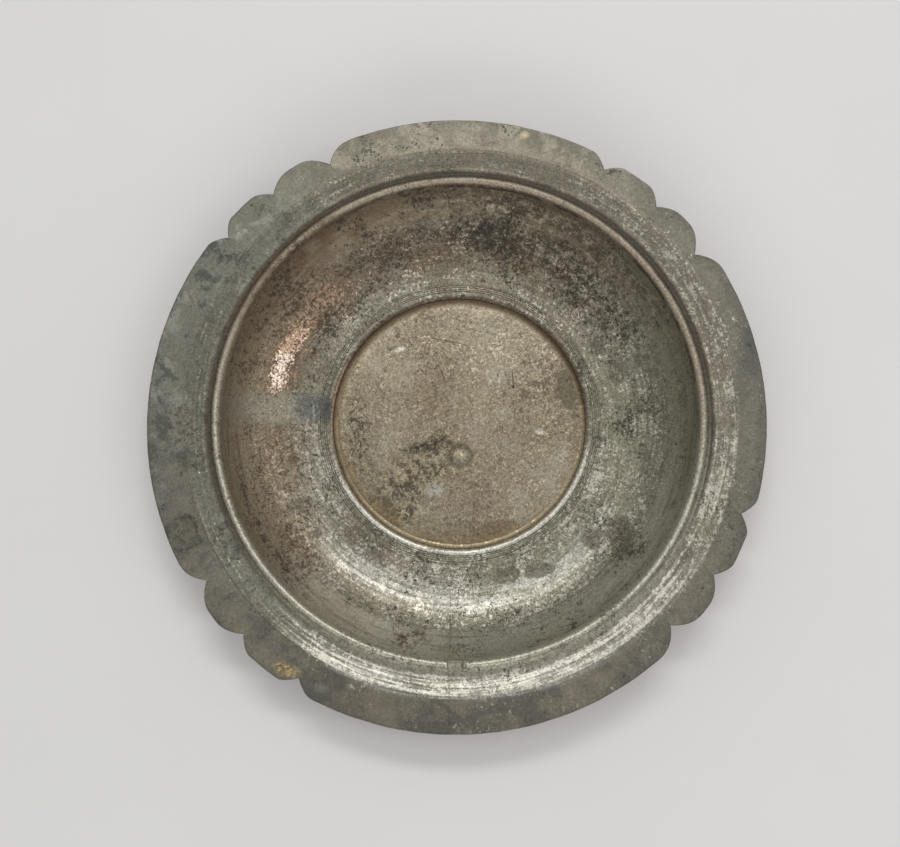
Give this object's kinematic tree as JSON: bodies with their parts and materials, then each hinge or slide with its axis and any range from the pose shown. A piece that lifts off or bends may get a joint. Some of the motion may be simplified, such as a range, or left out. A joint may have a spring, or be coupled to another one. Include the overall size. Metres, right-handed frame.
{
  "type": "paten plate",
  "caption": "Shallow round metal plate with a recessed flat centre, a half-round bead and a flat scalloped rim, resting on its base.",
  "frame": {"origin": "centre of the base disc's underside, on the surface the plate stands on", "axes": "+Z along the turned axis, out of the open bowl; +Y away from the radial seam"},
  "size_m": [0.2499, 0.25, 0.0247],
  "materials": {
    "tinned_base": "matte, grainy worn tin over copper",
    "brass_spelter": "dull brazing spelter",
    "tinned_wall": "satin worn tin over copper, tarnished",
    "tinned_flange": "brushed worn tin over copper, grey-green patina",
    "tin_solder": "dull soft solder",
    "tinned_bead": "satin worn tin over copper"
  },
  "bodies": {
    "root": {"base_disc": "tinned_base", "base_spelter_ring": "brass_spelter", "bowl_wall": "tinned_wall", "wall_seam_spelter": "brass_spelter", "rim_flange": "tinned_flange", "rim_seam_solder": "tin_solder", "rim_solder_ring": "tin_solder", "bead_ring": "tinned_bead"}
  },
  "joints": []
}
